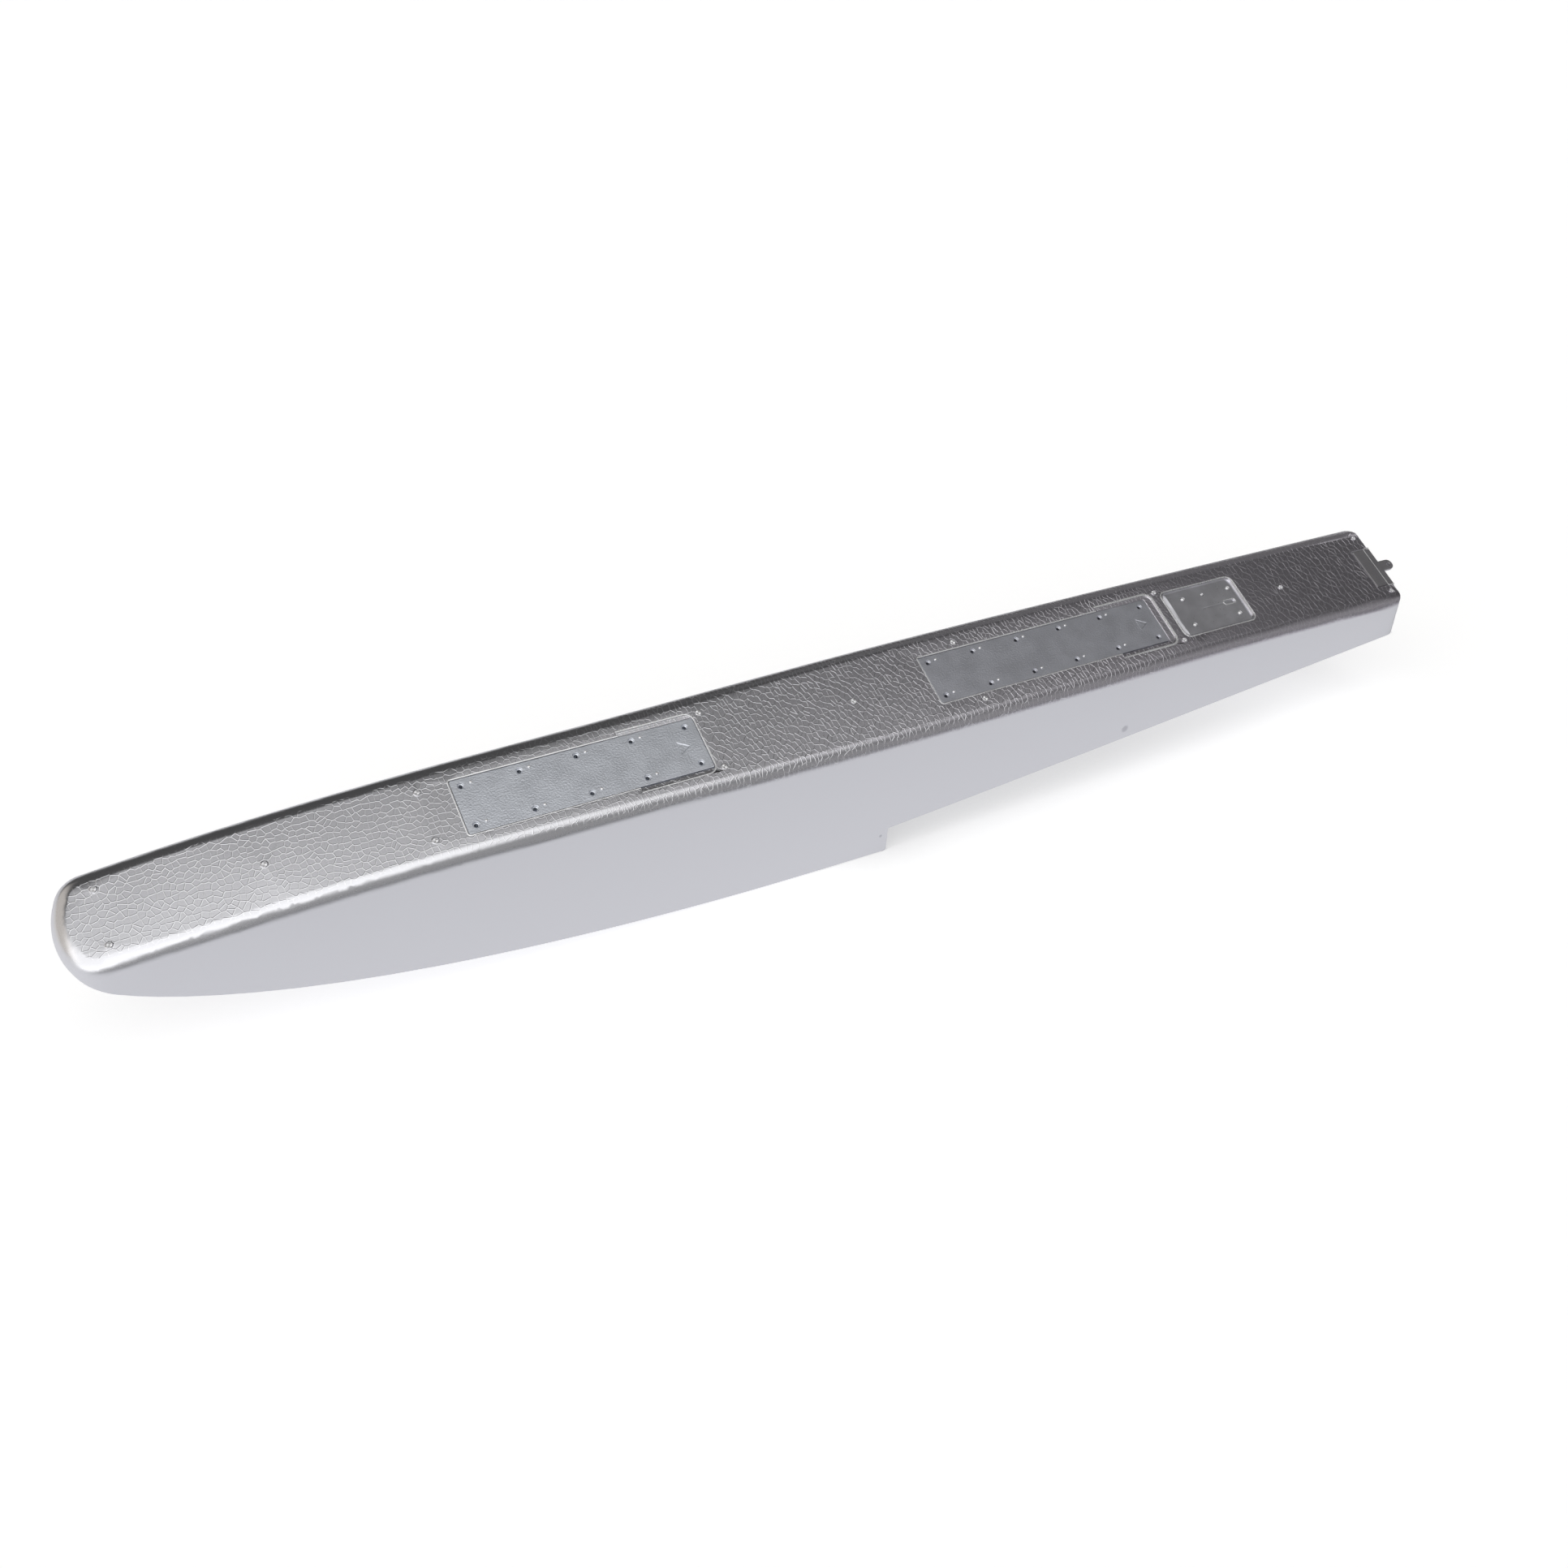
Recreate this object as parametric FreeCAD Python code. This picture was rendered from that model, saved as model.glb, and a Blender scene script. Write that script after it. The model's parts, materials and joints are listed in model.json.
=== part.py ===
# One float of a model seaplane: a moulded foam hull with plastic strut plates,
# a rudder linkage tray and a stern bracket let into its deck.
# X runs aft, Y to starboard and Z up. The origin is on the top face of the front
# strut plate, at the middle of its screw holes. Sizes are in millimetres.
import FreeCAD, Part
import math
import os
from FreeCAD import Placement, Rotation, Vector

# Hull lengths, measured from the origin
bow_reach = 333.7
step_aft = 226.0
stern_aft = 736.0

# Deck
deck_rise = 0.5                 # deck above the top of the strut plates
bow_curve_start = 70.0          # ahead of the origin, where the deck starts to fall
bow_curve_radius = 1667.0
stern_curve_start = 440.0       # aft of the origin, where the deck starts to fall
stern_curve_radius = 7440.0
deck_edge_radius = 12.0
stern_corner_radius = 8.0
stern_corner_splay = 3.0        # degrees to the side lines where the corner rounding starts
stern_rake = 5.0                # degrees, the stern leans aft towards the keel

# Sides: half widths of the side lines at the height of the origin, and their flare
bow_half_width = 31.3
fore_half_width = 35.0
origin_half_width = 36.9
step_half_width = 40.4
after_half_width = 39.8
stern_half_width = 37.3
bow_width_ahead = 218.0         # where bow_half_width is measured
fore_width_ahead = 118.0
after_width_aft = 465.0
side_flare = 23.0               # degrees off the vertical

# Nose, at the depth where its plan was measured; its front stands upright
nose_depth = 25.0
nose_half_width = 35.7          # where the shoulder arc ends
nose_arc_angle = 29.0           # degrees from straight ahead to where the shoulder starts
shoulder_radius = 21.0
shoulder_slope = 4.8            # degrees between the side line and the centreline
shoulder_growth = 0.2           # of the shoulder radius, for each millimetre of outset

# Bottom
keel_depth = 131.2
forefoot_length = 480.0         # from the bow to where the keel runs level
nose_keel_depth = 31.4
fore_deadrise = 25.0            # degrees, at the step
bow_deadrise = 31.6
step_height = 21.6
step_edge_radius = 3.0
after_keel_rise = 46.0          # from the step to the stern
after_deadrise = 26.0

# Strut plates: screw holes in two rows
hole_pitch = 40.0
row_spacing = 30.0
plate_gap = 200.0               # last hole of the front plate to the first of the rear one
front_columns = 5
rear_columns = 6
plate_width = 41.0
plate_thickness = 2.5
plate_front_margin = 6.5        # edge to the first hole
plate_rear_margin = 8.0
plate_corner_radius = 1.2
plate_fit = 0.3                 # gap round a piece let into the foam
screw_hole_diameter = 2.6
screw_hole_depth = 11.0
rail_width = 6.0                # rail under each row of screw holes
rail_end = 4.0                  # rail beyond its first and last hole
rail_floor = 1.5                # solid under each screw hole
pip_diameter = 1.6
pip_height = 0.3
pip_aft = 7.2                   # pip beside each screw hole
pip_side = 1.1
arrow_length = 8.0
arrow_width = 10.0
arrow_depth = 0.35
arrow_to_edge = 10.5            # arrow tip to the plate's rear edge

# Shallow ledge round the aft end of each plate pocket
ledge_width = 3.4
ledge_depth = 1.0
front_ledge_length = 56.0
rear_ledge_length = 48.0
front_ledge_gap = plate_fit
rear_ledge_gap = 6.6
ledge_corner_radius = 6.0

# Rudder linkage tray
tray_gap = 17.0                 # rear plate's edge to the tray
tray_length = 73.2
tray_width = 43.0
tray_corner_radius = 5.0
tray_rim = 0.5
tray_depth = 1.6
tray_floor = 1.6
tray_ramp_length = 4.6
tray_mark_diameter = 4.0
tray_mark_depth = 0.7
tray_mark_spacing_x = 47.7
tray_mark_spacing_y = 25.0
tray_mark_skew = 3.6
tray_marks_aft = 4.2            # middle of the marks, from the tray's middle
tray_small_mark_diameter = 2.6
tray_small_mark_aft = 2.4
groove_width = 0.9
groove_depth = 0.5
groove_length = 24.0
slot_width = 3.4
slot_length = 11.0
slot_depth = 1.2
slot_corner_radius = 1.4
slot_end_to_edge = 7.2

# Stern bracket with the rudder eye
bracket_length = 18.5           # along the deck, inside the hull's end
bracket_overhang = 1.2
bracket_width = 38.5
bracket_offset = -3.1
bracket_thickness = 3.0
tab_reach = 14.8                # hull's end to the tip of the tab
tab_width = 9.7
eye_diameter = 3.4

# Round vent marks that the mould leaves in the foam, each group set from what it lies by
vent_diameter = 4.0
vent_height = 0.25
nose_vent_aft = 28.7            # from the bow
nose_vent_side = 19.2           # half the distance between a pair
bow_vent_aft = 124.2            # from the bow, on the centreline
fore_vent_ahead = 21.5          # of the front plate
fore_vent_side = 18.2
front_vent_aft = 6.0            # of the front plate
front_vent_side = 22.8
step_vent_ahead = 18.0          # of the step, on the centreline
beside_vent_aft = 28.0          # of the rear plate's first hole
beside_vent_gap = 5.8           # from the rear plate's side
rear_vent_aft = 12.3            # of the rear plate
rear_vent_side = 24.0
tray_vent_aft = 42.4            # of the tray, on the centreline
stern_vent_ahead = 7.5          # of the stern
stern_vent_side = 29.1

# How far the cutting shapes reach past the hull, and past a piece let into it
clear = 12.0
overcut = 1.0
mark_sides = 8                  # of a small raised mark
tolerance = 1e-6                # for telling which edges lie in a plane
deck_tolerance = 1e-3           # and on the curved deck

flare = math.tan(math.radians(side_flare))
nose_outset = nose_depth * flare
lower_level = -(keel_depth + clear)
upper_level = keel_depth + clear
outer_half_width = step_half_width - lower_level * flare + clear
rail_level = -(screw_hole_depth + rail_floor)
tray_thickness = tray_depth + tray_floor


def plate_span(first_hole, columns):
    """Front and rear edges of a strut plate."""
    last_hole = first_hole + (columns - 1) * hole_pitch
    return first_hole - plate_front_margin, last_hole + plate_rear_margin


front_first_hole = -(front_columns - 1) * hole_pitch / 2.0
rear_first_hole = -front_first_hole + plate_gap
front_plate_start, front_plate_end = plate_span(front_first_hole, front_columns)
rear_plate_start, rear_plate_end = plate_span(rear_first_hole, rear_columns)
tray_centre_aft = rear_plate_end + tray_gap + tray_length / 2.0


def deck_height(x):
    """Height of the deck's centreline at x."""
    fall = 0.0
    if x < -bow_curve_start:
        run = -bow_curve_start - x
        fall = bow_curve_radius - math.sqrt(bow_curve_radius ** 2 - run ** 2)
    if x > stern_curve_start:
        run = x - stern_curve_start
        fall = stern_curve_radius - math.sqrt(stern_curve_radius ** 2 - run ** 2)
    return deck_rise - fall


def on_deck(x):
    """Placement whose origin lies on the deck at x, with its Z square to the deck."""
    slope = math.degrees(math.atan((deck_height(x + 1.0) - deck_height(x - 1.0)) / 2.0))
    return Placement(Vector(x, 0, deck_height(x)), Rotation(Vector(0, 1, 0), -slope))


def rounded_plate(x0, x1, y0, y1, z0, z1, radius, corners=None):
    """Flat block with rounded upright corners, all of them or those that corners picks."""
    block = Part.makeBox(x1 - x0, y1 - y0, z1 - z0, Vector(x0, y0, z0))
    picked = []
    for edge in block.Edges:
        first, last = (vertex.Point for vertex in edge.Vertexes)
        upright = abs(first.x - last.x) < tolerance and abs(first.y - last.y) < tolerance
        if upright and (corners is None or corners(first)):
            picked.append(edge)
    return block.makeFillet(radius, picked)


def disc(x, y, z0, z1, diameter):
    return Part.makeCylinder(diameter / 2.0, z1 - z0, Vector(x, y, z0))


def small_mark(x, y, z0, z1, diameter):
    """Raised mark a few millimetres wide, with eight sides."""
    corners = []
    for corner in range(mark_sides + 1):
        turn = 2 * math.pi * corner / mark_sides
        corners.append(Vector(x, y, z0) + Vector(math.cos(turn), math.sin(turn), 0) * diameter / 2.0)
    return Part.Face(Part.makePolygon(corners)).extrude(Vector(0, 0, z1 - z0))


def nose_arcs(outset):
    """Centre line, radii and end of the two arcs round the nose, for a given outset."""
    slope = math.radians(shoulder_slope)
    turn = math.radians(nose_arc_angle)
    grown = outset - nose_outset
    small = shoulder_radius + shoulder_growth * grown
    share = math.cos(slope) - math.sin(turn)
    big = (nose_half_width + grown * math.cos(slope) - small * share) / math.sin(turn)
    centre_x = big - bow_reach
    inner = Vector(centre_x - (big - small) * math.cos(turn), (big - small) * math.sin(turn), 0)
    return centre_x, big, inner, small


def arc_between(centre, radius, start, end):
    """Arc about an upright axis between two directions, in degrees from straight ahead."""
    points = []
    for angle in (start, (start + end) / 2.0, end):
        turn = math.radians(angle)
        points.append(centre + Vector(-math.cos(turn), math.sin(turn), 0) * radius)
    return Part.Arc(*points).toShape()


def side_line(outset, start):
    """Starboard side line from the nose to past the stern, moved outwards by outset."""
    stations = [
        Vector(-bow_width_ahead, bow_half_width, 0),
        Vector(-fore_width_ahead, fore_half_width, 0),
        Vector(0, origin_half_width, 0),
        Vector(step_aft, step_half_width, 0),
        Vector(after_width_aft, after_half_width, 0),
        Vector(stern_aft + clear, stern_half_width, 0),
    ]
    points = [start] + [station + Vector(0, outset, 0) for station in stations]
    slope = math.radians(shoulder_slope)
    curve = Part.BSplineCurve()
    curve.interpolate(Points=points, InitialTangent=Vector(math.cos(slope), math.sin(slope), 0),
                      FinalTangent=points[-1] - points[-2])
    return curve.toShape()


def outline(z):
    """Closed plan outline of the flared hull at height z, from the nose to past the stern."""
    outset = -z * flare
    centre_x, big, inner, small = nose_arcs(outset)
    front = arc_between(Vector(centre_x, 0, 0), big, 0.0, nose_arc_angle)
    shoulder = arc_between(inner, small, nose_arc_angle, 90.0 - shoulder_slope)
    side = side_line(outset, shoulder.Vertexes[-1].Point)
    half = [front, shoulder, side]
    other = [edge.mirror(Vector(0, 0, 0), Vector(0, 1, 0)) for edge in half]
    end = side.Vertexes[-1].Point
    transom = Part.makeLine(end, Vector(end.x, -end.y, end.z))
    wire = Part.Wire(Part.__sortEdges__(half + [transom] + other))
    wire.translate(Vector(0, 0, z))
    return wire


def flared_block():
    """Hull sides, higher, deeper and longer than the hull."""
    return Part.makeLoft([outline(clear), outline(lower_level)], True, True)


def under_deck():
    """Everything below the deck's profile: flat amidships, falling to the bow and the stern."""
    ahead = -(bow_reach + clear)
    astern = stern_aft + clear
    bow_mid = (ahead - bow_curve_start) / 2.0
    stern_mid = (astern + stern_curve_start) / 2.0

    def point(x, z=None):
        return Vector(x, -outer_half_width, deck_height(x) if z is None else z)

    edges = [
        Part.Arc(point(ahead), point(bow_mid), point(-bow_curve_start)).toShape(),
        Part.makeLine(point(-bow_curve_start), point(stern_curve_start)),
        Part.Arc(point(stern_curve_start), point(stern_mid), point(astern)).toShape(),
        Part.makeLine(point(astern), point(astern, lower_level)),
        Part.makeLine(point(astern, lower_level), point(ahead, lower_level)),
        Part.makeLine(point(ahead, lower_level), point(ahead)),
    ]
    return Part.Face(Part.Wire(edges)).extrude(Vector(0, 2 * outer_half_width, 0))


def vee_body(stations):
    """Solid above a V bottom, through stations of x, keel depth, deadrise and curve parameter.

    Each section is straight from the keel to far outside the chine."""
    first, last = stations[0][0], stations[-1][0]
    wires = []
    for side in (-1, 0, 1):
        points = []
        for x, depth, deadrise, _ in stations:
            rise = abs(side) * outer_half_width * math.tan(math.radians(deadrise))
            points.append(Vector(x, side * outer_half_width, rise - depth))
        line = Part.BSplineCurve()
        line.interpolate(Points=points, Parameters=[station[3] for station in stations])
        top = [Vector(x, side * outer_half_width, upper_level) for x in (last, first)]
        edges = [line.toShape()]
        for start, end in ((points[-1], top[0]), (top[0], top[1]), (top[1], points[0])):
            edges.append(Part.makeLine(start, end))
        wires.append(Part.Wire(edges))
    return Part.makeLoft(wires, True, True)


def forebody():
    """V bottom ahead of the step: an elliptical forefoot, then a level keel."""
    level_at = forefoot_length - bow_reach
    rise = keel_depth - nose_keel_depth
    stations = []
    forefoot_angles = (90.0, 80.0, 68.0, 55.0, 41.0, 27.0, 13.0)
    for angle in forefoot_angles:
        turn = math.radians(angle)
        x = level_at - forefoot_length * math.sin(turn)
        stations.append((x, nose_keel_depth + rise * math.cos(turn), -forefoot_length * turn))
    for share in (0.0, 0.5, 1.0):
        run = (step_aft - level_at) * share
        stations.append((level_at + run, keel_depth, run))
    bottom = []
    for x, depth, parameter in stations:
        share = (step_aft - x) / (step_aft + bow_reach)
        deadrise = fore_deadrise + (bow_deadrise - fore_deadrise) * share ** 2
        bottom.append((x, depth, deadrise, parameter))
    body = vee_body(bottom)
    lower_edges = []
    for edge in body.Edges:
        ends = [vertex.Point for vertex in edge.Vertexes]
        at_step = all(abs(end.x - step_aft) < tolerance for end in ends)
        from_keel = any(abs(end.z + keel_depth) < tolerance for end in ends)
        if at_step and from_keel and abs(ends[0].y - ends[1].y) > tolerance:
            lower_edges.append(edge)
    return body.makeFillet(step_edge_radius, lower_edges)


def afterbody():
    """V bottom aft of the step, rising in a straight line to the stern."""
    start = keel_depth - step_height
    end = stern_aft + clear
    slope = after_keel_rise / (stern_aft - step_aft)
    bottom = []
    for x in (step_aft, end):
        bottom.append((x, start - slope * (x - step_aft), after_deadrise, x))
    return vee_body(bottom)


def stern_outline(z):
    """Plan outline of the raked stern with its rounded corners, closed well ahead of it."""
    x = stern_aft + (deck_height(stern_aft) - z) * math.tan(math.radians(stern_rake))
    splay = math.radians(stern_corner_splay)
    middle = (math.pi / 2.0 - splay) / 2.0
    half_width = stern_half_width - z * flare
    centre = Vector(x - stern_corner_radius, half_width - stern_corner_radius * math.cos(splay), z)

    def on_corner(turn):
        return centre + Vector(math.cos(turn), math.sin(turn), 0) * stern_corner_radius

    start = on_corner(math.pi / 2.0 - splay)
    corner = Part.Arc(start, on_corner(middle), on_corner(0.0)).toShape()
    ahead = bow_reach + x + clear
    far = start + Vector(-ahead, ahead * math.tan(splay), 0)
    half = [Part.makeLine(far, start), corner]
    other = [edge.mirror(Vector(0, 0, 0), Vector(0, 1, 0)) for edge in half]
    closing = [Part.makeLine(end, Vector(end.x, -end.y, z)) for end in (on_corner(0.0), far)]
    return Part.Wire(Part.__sortEdges__(half + other + closing))


def rounded_deck():
    """The flared block cut down to the deck, with the rounded edge that runs round the bow."""
    body = flared_block().common(under_deck())
    sides = []
    for edge in body.Edges:
        ends = [vertex.Point for vertex in edge.Vertexes]
        on_deck_level = all(abs(end.z - deck_height(end.x)) < deck_tolerance for end in ends)
        across = abs(ends[0].x - ends[1].x) < deck_tolerance
        if on_deck_level and not across:
            sides.append(edge)
    return body.makeFillet(deck_edge_radius, sides)


def plain_hull():
    """Hull with its rounded deck edges, V bottom and step, before anything is let into it."""
    stern = Part.makeLoft([stern_outline(2 * clear), stern_outline(lower_level - clear)], True, True)
    bottom = forebody().fuse(afterbody())
    return rounded_deck().common(stern).common(bottom)


def hole_points(first_hole, columns):
    points = []
    for column in range(columns):
        for side in (-1, 1):
            points.append(Vector(first_hole + column * hole_pitch, side * row_spacing / 2.0, 0))
    return points


def row_rails(first_hole, columns, top, gap=0.0):
    """Blocks along both rows of holes, from the rails' underside up to top, larger by a gap all round."""
    length = (columns - 1) * hole_pitch + 2 * (rail_end + gap)
    width = rail_width + 2 * gap
    rails = []
    for side in (-1, 1):
        corner = Vector(first_hole - rail_end - gap, (side * row_spacing - width) / 2.0, rail_level)
        rails.append(Part.makeBox(length, width, top - rail_level, corner))
    return rails


def strut_plate(first_hole, columns):
    """Flat plate with a rail under each row of blind screw holes, and a pip beside each hole."""
    front, rear = plate_span(first_hole, columns)
    half = plate_width / 2.0
    plate = rounded_plate(front, rear, -half, half, -plate_thickness, 0, plate_corner_radius)
    inside = -plate_thickness / 2.0
    added = row_rails(first_hole, columns, inside)
    cuts = []
    for point in hole_points(first_hole, columns):
        if point.x + pip_aft + pip_diameter < rear:
            added.append(small_mark(point.x + pip_aft, point.y + pip_side, inside, pip_height, pip_diameter))
        cuts.append(disc(point.x, point.y, -screw_hole_depth, overcut, screw_hole_diameter))
    tip = rear - arrow_to_edge
    arrow = Part.makePolygon([
        Vector(tip, 0, -arrow_depth),
        Vector(tip - arrow_length, arrow_width / 2.0, -arrow_depth),
        Vector(tip - arrow_length, -arrow_width / 2.0, -arrow_depth),
        Vector(tip, 0, -arrow_depth),
    ])
    cuts.append(Part.Face(arrow).extrude(Vector(0, 0, overcut)))
    return plate.fuse(added).cut(cuts).removeSplitter()


def plate_pocket(first_hole, columns, ledge_length, ledge_gap):
    """Space that a strut plate takes in the foam, with the shallow ledge round its aft end."""
    front, rear = plate_span(first_hole, columns)
    half = plate_width / 2.0 + plate_fit
    top = deck_rise + overcut
    block = rounded_plate(front - plate_fit, rear + plate_fit, -half, half, -plate_thickness, top,
                          plate_corner_radius)
    ledge_end = rear + ledge_gap
    ledge_half = half + ledge_width

    def is_aft(point):
        return abs(point.x - ledge_end) < tolerance

    ledge = rounded_plate(rear - ledge_length, ledge_end, -ledge_half, ledge_half,
                          deck_rise - ledge_depth, top, ledge_corner_radius, is_aft)
    return block.fuse([ledge] + row_rails(first_hole, columns, 0.0, plate_fit))


def rudder_tray():
    """Shallow moulded tray: ramp at its front, round marks, and a groove that ends in a slot."""
    half_length = tray_length / 2.0
    half_width = tray_width / 2.0
    tray = rounded_plate(-half_length, half_length, -half_width, half_width, -tray_thickness, 0,
                         tray_corner_radius)
    inner = half_length - tray_rim
    inner_width = half_width - tray_rim
    hollow = rounded_plate(-inner, inner, -inner_width, inner_width, -tray_depth, overcut,
                           tray_corner_radius - tray_rim)
    ramp = Part.makePolygon([
        Vector(-inner, -half_width, 0),
        Vector(-inner + tray_ramp_length, -half_width, -tray_depth),
        Vector(-inner, -half_width, -tray_depth),
        Vector(-inner, -half_width, 0),
    ])
    hollow = hollow.cut(Part.Face(ramp).extrude(Vector(0, tray_width, 0)))
    cuts = [hollow]
    floor = -tray_depth
    for end in (-1, 1):
        for side in (-1, 1):
            x = tray_marks_aft + end * tray_mark_spacing_x / 2.0 + side * tray_mark_skew / 2.0
            y = side * tray_mark_spacing_y / 2.0
            cuts.append(disc(x, y, floor - tray_mark_depth, 0, tray_mark_diameter))
    cuts.append(disc(tray_small_mark_aft, tray_mark_spacing_y / 2.0, floor - tray_mark_depth, 0,
                     tray_small_mark_diameter))
    slot_end = half_length - slot_end_to_edge
    slot_start = slot_end - slot_length
    cuts.append(rounded_plate(slot_start, slot_end, -slot_width / 2.0, slot_width / 2.0,
                              floor - slot_depth, 0, slot_corner_radius))
    cuts.append(Part.makeBox(groove_length + slot_length / 2.0, groove_width, tray_depth + groove_depth,
                             Vector(slot_start - groove_length, -groove_width / 2.0, floor - groove_depth)))
    return tray.cut(cuts)


def tray_pocket():
    half_length = tray_length / 2.0 + plate_fit
    half_width = tray_width / 2.0 + plate_fit
    return rounded_plate(-half_length, half_length, -half_width, half_width, -tray_thickness, overcut,
                         tray_corner_radius + plate_fit)


def stern_bracket():
    """Flat bracket across the stern with a round-ended tab and its eye, in the frame of on_deck."""
    low = bracket_offset - bracket_width / 2.0
    high = bracket_offset + bracket_width / 2.0
    base = Part.makeBox(bracket_length + bracket_overhang, high - low, bracket_thickness,
                        Vector(-bracket_length, low, -bracket_thickness))
    radius = tab_width / 2.0
    tab = Part.makeBox(tab_reach - radius, tab_width, bracket_thickness,
                       Vector(0, bracket_offset - radius, -bracket_thickness))
    end = disc(tab_reach - radius, bracket_offset, -bracket_thickness, 0, tab_width)
    eye = disc(tab_reach - radius, bracket_offset, -bracket_thickness - overcut, overcut, eye_diameter)
    return base.fuse([tab, end]).cut(eye).removeSplitter()


def bracket_pocket():
    length = bracket_length + plate_fit
    width = bracket_width + 2 * plate_fit
    corner = Vector(-length, bracket_offset - width / 2.0, -bracket_thickness)
    return Part.makeBox(length + 2 * clear, width, bracket_thickness + clear, corner)


def vent_marks():
    """Low round marks on the deck, square to its surface."""
    centres = [bow_vent_aft - bow_reach, step_aft - step_vent_ahead,
               tray_centre_aft + tray_length / 2.0 + tray_vent_aft]
    pairs = [
        (nose_vent_aft - bow_reach, nose_vent_side),
        (front_plate_start - fore_vent_ahead, fore_vent_side),
        (front_plate_end + front_vent_aft, front_vent_side),
        (rear_first_hole + beside_vent_aft, plate_width / 2.0 + beside_vent_gap),
        (rear_plate_end + rear_vent_aft, rear_vent_side),
        (stern_aft - stern_vent_ahead, stern_vent_side),
    ]
    places = [(x, 0.0) for x in centres]
    for x, y in pairs:
        places += [(x, y), (x, -y)]
    marks = []
    for x, y in places:
        mark = small_mark(0, y, -overcut, vent_height, vent_diameter)
        mark.Placement = on_deck(x)
        marks.append(mark)
    return marks


def placed(shape, placement):
    moved = shape.copy()
    moved.Placement = placement
    return moved


def main():
    os.makedirs("parts", exist_ok=True)
    tray_place = on_deck(tray_centre_aft)
    stern_place = on_deck(stern_aft)
    hull = plain_hull().fuse(vent_marks())
    hull = hull.cut([
        plate_pocket(front_first_hole, front_columns, front_ledge_length, front_ledge_gap),
        plate_pocket(rear_first_hole, rear_columns, rear_ledge_length, rear_ledge_gap),
        placed(tray_pocket(), tray_place),
        placed(bracket_pocket(), stern_place),
    ])
    nodes = {
        "foam_hull": hull,
        "front_strut_plate": strut_plate(front_first_hole, front_columns),
        "rear_strut_plate": strut_plate(rear_first_hole, rear_columns),
        "rudder_tray": placed(rudder_tray(), tray_place),
        "stern_bracket": placed(stern_bracket(), stern_place),
    }
    for name, shape in nodes.items():
        solids = shape.Solids
        print(name, "solids", len(solids), "valid", shape.isValid(), "volume", round(shape.Volume, 1))
        result = solids[0] if len(solids) == 1 else Part.makeCompound(solids)
        result.exportStep("parts/" + name + ".step")


main()
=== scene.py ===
import bpy
import json
import math
import numpy
from mathutils import Matrix, Vector

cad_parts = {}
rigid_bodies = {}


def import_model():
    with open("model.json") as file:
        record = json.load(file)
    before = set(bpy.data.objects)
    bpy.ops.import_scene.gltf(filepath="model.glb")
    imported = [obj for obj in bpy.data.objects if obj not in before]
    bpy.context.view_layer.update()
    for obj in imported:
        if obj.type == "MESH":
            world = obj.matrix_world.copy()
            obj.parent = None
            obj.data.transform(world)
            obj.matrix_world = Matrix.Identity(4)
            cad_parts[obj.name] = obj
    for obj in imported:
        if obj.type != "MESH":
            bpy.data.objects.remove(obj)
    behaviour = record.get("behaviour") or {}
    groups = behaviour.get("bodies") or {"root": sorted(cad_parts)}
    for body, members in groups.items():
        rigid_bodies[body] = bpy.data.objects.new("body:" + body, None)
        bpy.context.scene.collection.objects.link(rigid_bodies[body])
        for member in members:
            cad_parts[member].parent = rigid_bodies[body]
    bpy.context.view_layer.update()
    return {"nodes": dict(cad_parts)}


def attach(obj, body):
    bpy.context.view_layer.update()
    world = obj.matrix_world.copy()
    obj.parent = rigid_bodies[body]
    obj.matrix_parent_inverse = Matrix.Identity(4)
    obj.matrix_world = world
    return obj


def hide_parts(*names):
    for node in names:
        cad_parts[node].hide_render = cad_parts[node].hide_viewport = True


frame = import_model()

print("frame: float loaded")


# a shader socket that can be added, multiplied and compared
class Wire:
    def __init__(self, finish, socket):
        self.finish = finish
        self.socket = socket

    def math(self, operation, *values):
        return self.finish.node("ShaderNodeMath", {"operation": operation}, dict(enumerate(values)))

    def __add__(self, other):
        return self.math("ADD", self, other)

    def __sub__(self, other):
        return self.math("SUBTRACT", self, other)

    def __rsub__(self, other):
        return self.math("SUBTRACT", other, self)

    def __mul__(self, other):
        return self.math("MULTIPLY", self, other)

    def __truediv__(self, other):
        return self.math("DIVIDE", self, other)

    def __pow__(self, other):
        return self.math("POWER", self, other)

    __radd__ = __add__
    __rmul__ = __mul__


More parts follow.
